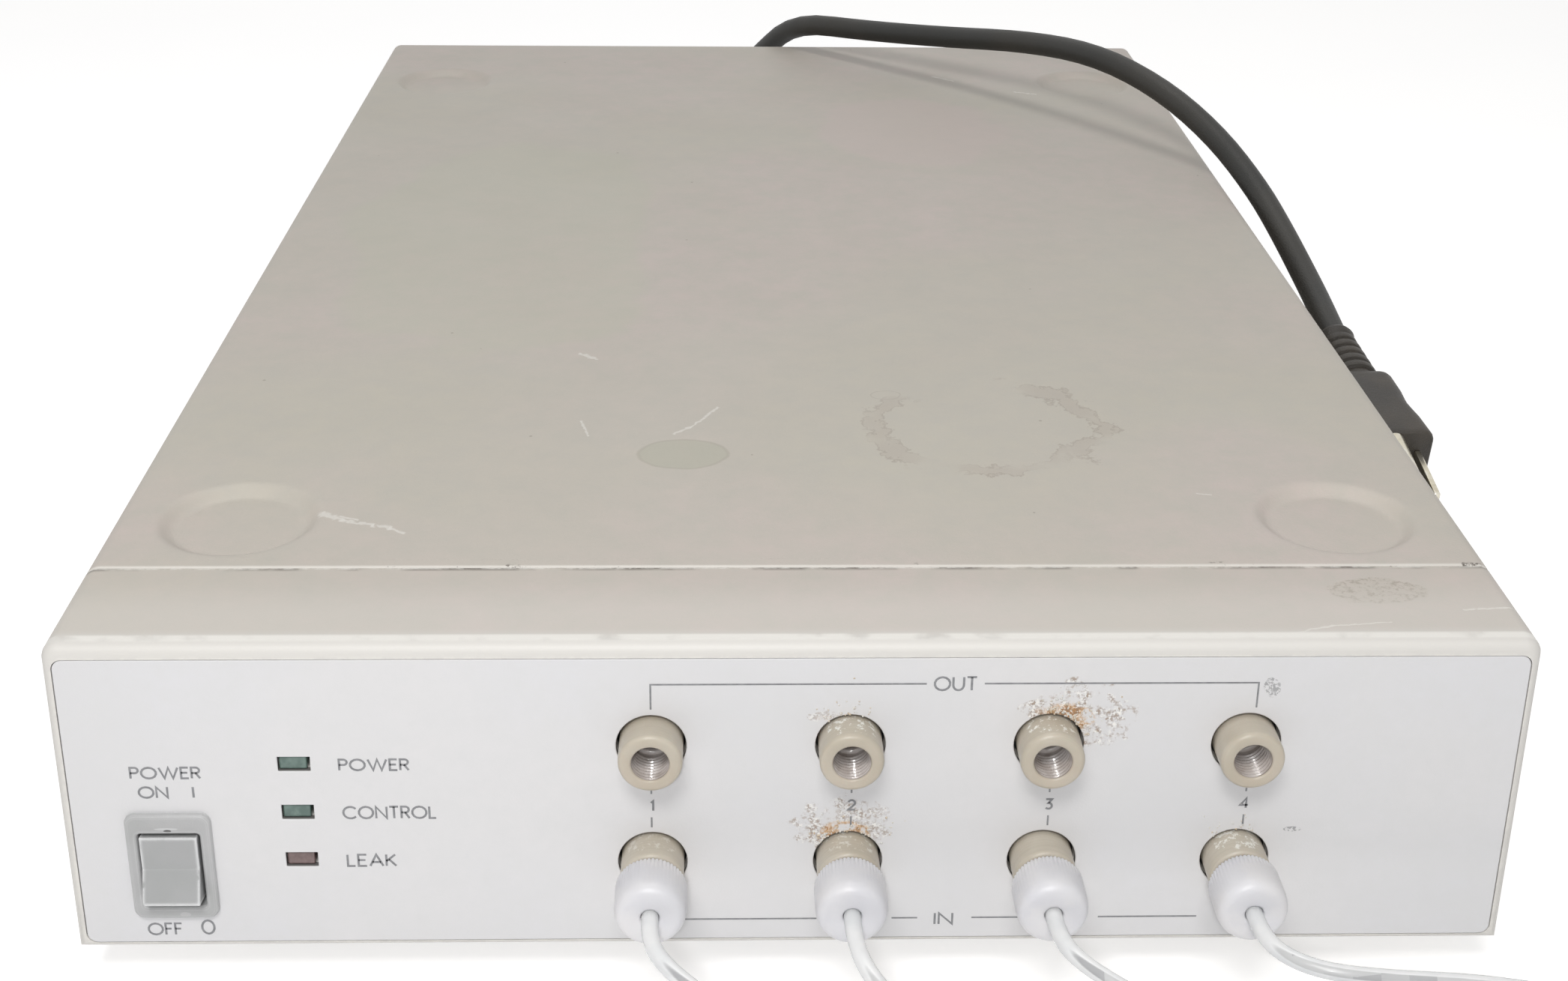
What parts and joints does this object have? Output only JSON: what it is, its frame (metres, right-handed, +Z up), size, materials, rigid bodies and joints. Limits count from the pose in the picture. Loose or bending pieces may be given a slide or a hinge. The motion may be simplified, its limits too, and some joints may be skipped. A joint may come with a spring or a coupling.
{
  "type": "solvent degasser",
  "caption": "Flat bench-top on-line solvent degasser with a row of outlet fittings above a row of tubed inlets, a rocker switch, status lamps and a mains lead.",
  "frame": {"origin": "middle of the instrument's own box (without its cords), on the surface that the feet stand on", "axes": "+X to the right along the front, +Y from the front to the back, +Z up"},
  "size_m": [0.2926, 0.7375, 0.0976],
  "materials": {
    "cover_paint": "fine-textured pale paint",
    "rear_paint": "fine-textured pale paint",
    "zinc_steel": "zinc-plated sheet and hardware",
    "bezel_plastic": "fine grained moulding",
    "panel_face": "printed satin film",
    "port_polymer": "machined tan polymer",
    "nut_polymer": "knurled white polymer",
    "clear_tube": "clear fluoropolymer",
    "filter_steel": "sintered stainless steel",
    "foot_rubber": "moulded rubber",
    "lead_jacket": "flexible cable jacket",
    "plug_moulding": "moulded on plug",
    "pin_metal": "nickel-plated brass",
    "switch_plastic": "moulded",
    "rocker_plastic": "moulded",
    "lamp_green": "clear tinted lens, unlit",
    "lamp_red": "clear tinted lens, unlit",
    "board_laminate": "solder mask",
    "chamber_plastic": "moulded polymer",
    "membrane_polymer": "wound amorphous fluoropolymer tube",
    "motor_steel": "plated steel",
    "cast_aluminium": "machined",
    "exhaust_brass": "turned",
    "sensor_plastic": "moulded"
  },
  "bodies": {
    "case": {"top_cover": "cover_paint", "rear_panel": "rear_paint", "base_tray": "zinc_steel", "port_bracket": "zinc_steel", "port_locknuts": "zinc_steel", "cover_screws": "zinc_steel", "front_bezel": "bezel_plastic", "front_panel": "panel_face", "out_port_1": "port_polymer", "out_port_2": "port_polymer", "out_port_3": "port_polymer", "out_port_4": "port_polymer", "in_ports": "port_polymer", "inner_lines": "clear_tube", "vacuum_hoses": "clear_tube", "feet": "foot_rubber", "mains_gland": "lead_jacket", "mains_lead_rear": "lead_jacket", "mains_coil": "lead_jacket", "mains_lead_front": "lead_jacket", "plug_body": "plug_moulding", "plug_pins": "pin_metal", "switch_housing": "switch_plastic", "power_lamp": "lamp_green", "control_lamp": "lamp_green", "leak_lamp": "lamp_red", "lamp_board": "board_laminate", "control_board": "board_laminate", "power_supply": "board_laminate", "chamber_body": "chamber_plastic", "chamber_lid": "chamber_plastic", "membrane_coils": "membrane_polymer", "pump_motor": "motor_steel", "vent_valve": "motor_steel", "pump_head": "cast_aluminium", "exhaust_spigot": "exhaust_brass", "leak_sensor": "sensor_plastic"},
    "inlet_line_1": {"ferrule_1": "clear_tube", "inlet_tube_1": "clear_tube", "inlet_coil_1": "clear_tube", "inlet_filter_1": "filter_steel"},
    "inlet_line_2": {"ferrule_2": "clear_tube", "inlet_tube_2": "clear_tube", "inlet_coil_2": "clear_tube", "inlet_filter_2": "filter_steel"},
    "inlet_line_3": {"ferrule_3": "clear_tube", "inlet_tube_3": "clear_tube", "inlet_coil_3": "clear_tube", "inlet_filter_3": "filter_steel"},
    "inlet_line_4": {"ferrule_4": "clear_tube", "inlet_tube_4": "clear_tube", "inlet_coil_4": "clear_tube", "inlet_filter_4": "filter_steel"},
    "inlet_nut_1": {"inlet_nut_1": "nut_polymer"},
    "inlet_nut_2": {"inlet_nut_2": "nut_polymer"},
    "inlet_nut_3": {"inlet_nut_3": "nut_polymer"},
    "inlet_nut_4": {"inlet_nut_4": "nut_polymer"},
    "rocker": {"rocker": "rocker_plastic"},
    "pump_eccentric": {"pump_eccentric": "motor_steel"},
    "valve_plunger": {"valve_plunger": "motor_steel"}
  },
  "joints": [
    {"name": "inlet_line_1_draw", "type": "slide", "parent": "case", "child": "inlet_line_1", "axis": [0, -1, 0], "range_m": [0, 0.0085]},
    {"name": "inlet_nut_1_turn", "type": "hinge", "parent": "inlet_line_1", "child": "inlet_nut_1", "pos_m": [-0.0256, -0.2216, 0.0274], "axis": [0, -1, 0], "range_deg": [0, 3375]},
    {"name": "inlet_line_2_draw", "type": "slide", "parent": "case", "child": "inlet_line_2", "axis": [0, -1, 0], "range_m": [0, 0.0085]},
    {"name": "inlet_nut_2_turn", "type": "hinge", "parent": "inlet_line_2", "child": "inlet_nut_2", "pos_m": [0.0094, -0.2216, 0.0274], "axis": [0, -1, 0], "range_deg": [0, 3375]},
    {"name": "inlet_line_3_draw", "type": "slide", "parent": "case", "child": "inlet_line_3", "axis": [0, -1, 0], "range_m": [0, 0.0085]},
    {"name": "inlet_nut_3_turn", "type": "hinge", "parent": "inlet_line_3", "child": "inlet_nut_3", "pos_m": [0.0444, -0.2216, 0.0274], "axis": [0, -1, 0], "range_deg": [0, 3375]},
    {"name": "inlet_line_4_draw", "type": "slide", "parent": "case", "child": "inlet_line_4", "axis": [0, -1, 0], "range_m": [0, 0.0085]},
    {"name": "inlet_nut_4_turn", "type": "hinge", "parent": "inlet_line_4", "child": "inlet_nut_4", "pos_m": [0.0794, -0.2216, 0.0274], "axis": [0, -1, 0], "range_deg": [0, 3375]},
    {"name": "rocker_tilt", "type": "hinge", "parent": "case", "child": "rocker", "pos_m": [-0.1112, -0.2075, 0.02665], "axis": [1, 0, 0], "range_deg": [0, 20]},
    {"name": "pump_shaft_turn", "type": "hinge", "parent": "case", "child": "pump_eccentric", "pos_m": [-0.059, 0.09, 0.0312], "axis": [1, 0, 0], "continuous": true},
    {"name": "valve_plunger_travel", "type": "slide", "parent": "case", "child": "valve_plunger", "axis": [0, 0, 1], "range_m": [-0.002, 0], "stiffness_N_per_m": 150, "springref_m": 0.001}
  ],
  "couplings": [
    {"joint": "inlet_nut_1_turn", "follows": "inlet_line_1_draw", "rad_per_m": 6927.5},
    {"joint": "inlet_nut_2_turn", "follows": "inlet_line_2_draw", "rad_per_m": 6927.5},
    {"joint": "inlet_nut_3_turn", "follows": "inlet_line_3_draw", "rad_per_m": 6927.5},
    {"joint": "inlet_nut_4_turn", "follows": "inlet_line_4_draw", "rad_per_m": 6927.5}
  ]
}
